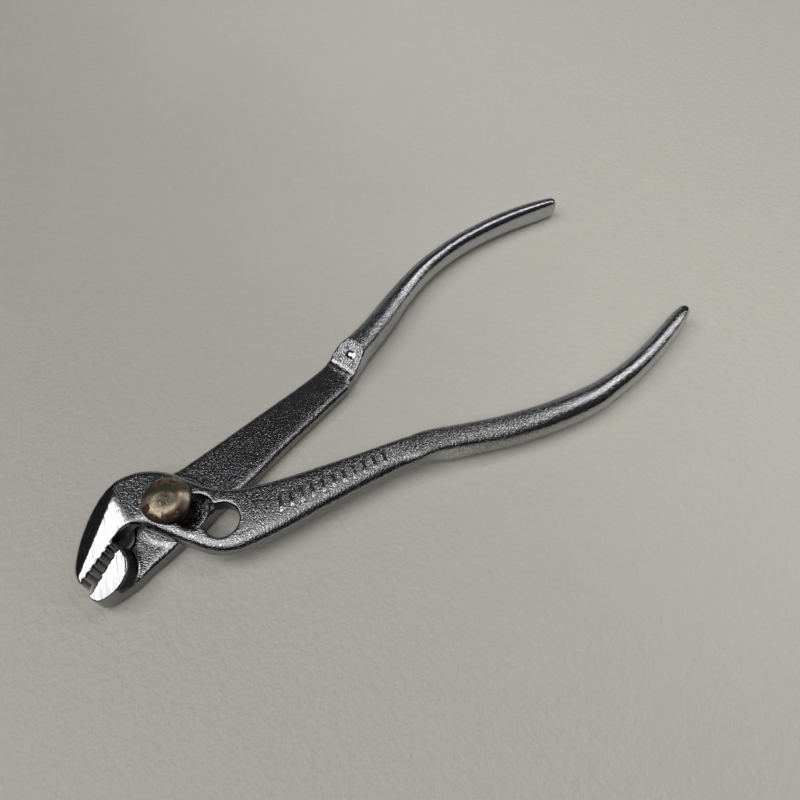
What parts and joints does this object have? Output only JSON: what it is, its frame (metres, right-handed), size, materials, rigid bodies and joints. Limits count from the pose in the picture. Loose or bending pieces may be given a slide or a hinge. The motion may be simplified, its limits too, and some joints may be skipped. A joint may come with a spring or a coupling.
{
  "type": "slip-joint pliers",
  "caption": "Slip-joint pliers with angled toothed jaws, two crossed chromed handles and a domed rivet that shifts along a seated slot.",
  "frame": {"origin": "on the rivet's axis, in the plane where the two halves meet", "axes": "+X from the rivet towards the handles, +Z along the rivet towards its head, -X towards the jaws"},
  "size_m": [0.1827, 0.0752, 0.0129],
  "materials": {
    "rear_chrome": "bright chrome over a shot-blasted forging",
    "front_chrome": "bright chrome over a shot-blasted forging, ground at the jaws",
    "rivet_nickel": "worn warm nickel with brown rust spots"
  },
  "bodies": {
    "rear": {"rear_half": "rear_chrome"},
    "rivet": {"pivot_rivet": "rivet_nickel"},
    "front": {"front_half": "front_chrome"}
  },
  "joints": [
    {"name": "swing", "type": "hinge", "parent": "rear", "child": "rivet", "pos_m": [0, 0, 0], "axis": [0, 0, 1], "range_deg": [-35, 7]},
    {"name": "slip", "type": "slide", "parent": "rivet", "child": "front", "axis": [-0.5693, 0.8221, 0], "range_m": [0, 0.0146]}
  ]
}
